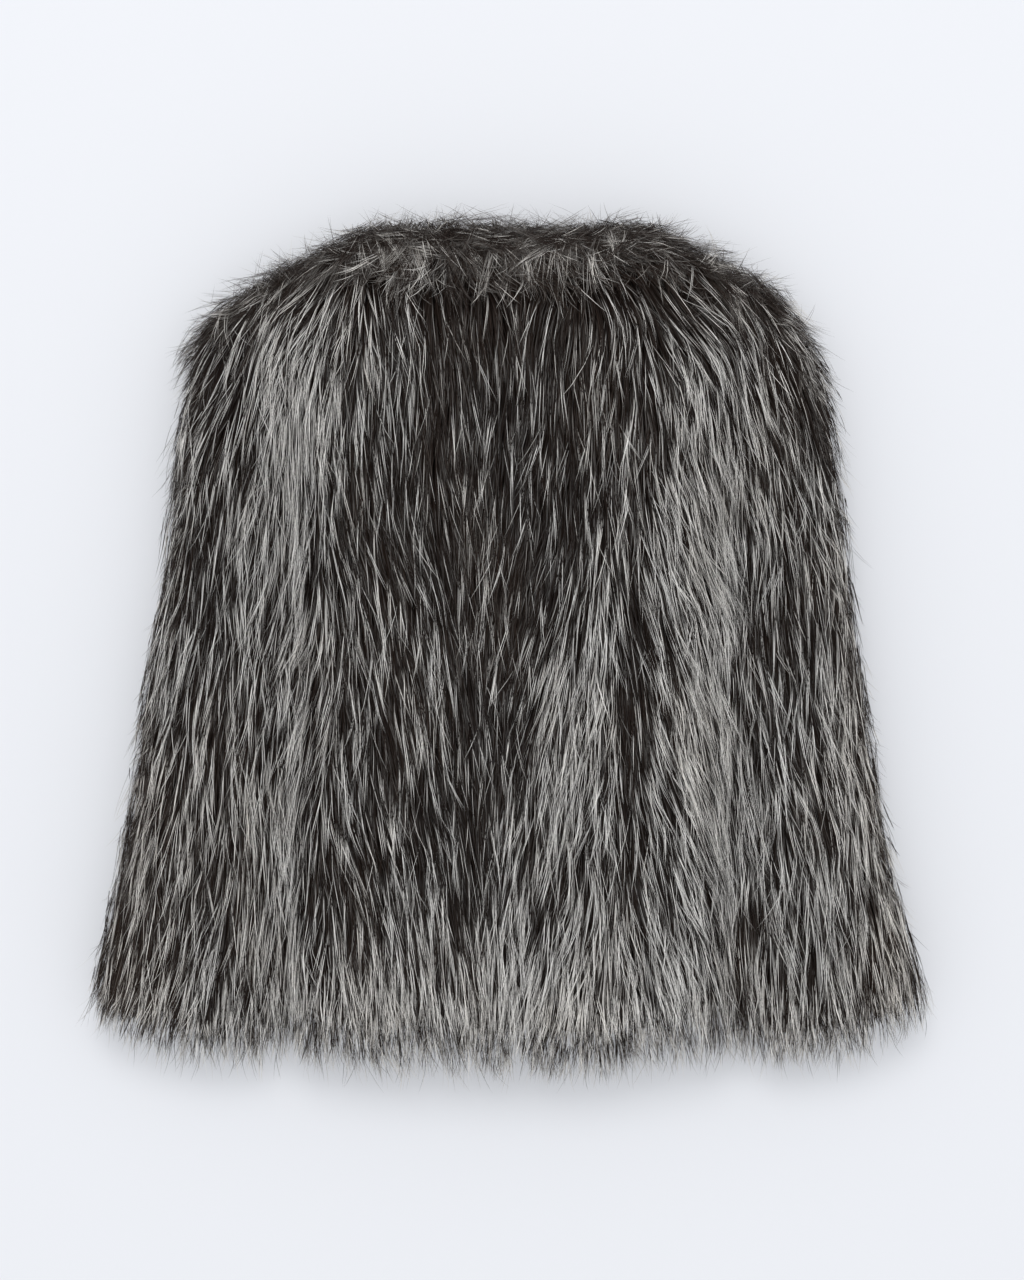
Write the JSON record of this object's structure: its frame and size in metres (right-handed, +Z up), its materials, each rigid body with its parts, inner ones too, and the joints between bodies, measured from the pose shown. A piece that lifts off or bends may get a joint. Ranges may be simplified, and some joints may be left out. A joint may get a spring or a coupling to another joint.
{
  "type": "fur coat",
  "caption": "Cropped collarless jacket of long silver-grey fur with a narrow fur neck band, laid flat on its front with the back up and the sleeves at its sides.",
  "frame": {"origin": "centre of the jacket's bounding box, on the plane it lies on", "axes": "+Z up, out of the back of the jacket; +Y towards the neck; +X towards the wearer's right sleeve"},
  "size_m": [0.681, 0.6922, 0.0869],
  "materials": {
    "back_fur": "matt long pile",
    "front_fur": "matt long pile",
    "sleeve_fur": "matt long pile",
    "neck_fur": "matt long pile"
  },
  "bodies": {
    "root": {"back": "back_fur", "front_left": "front_fur", "front_right": "front_fur", "sleeve_left": "sleeve_fur", "sleeve_right": "sleeve_fur", "neck_band": "neck_fur"}
  },
  "joints": []
}
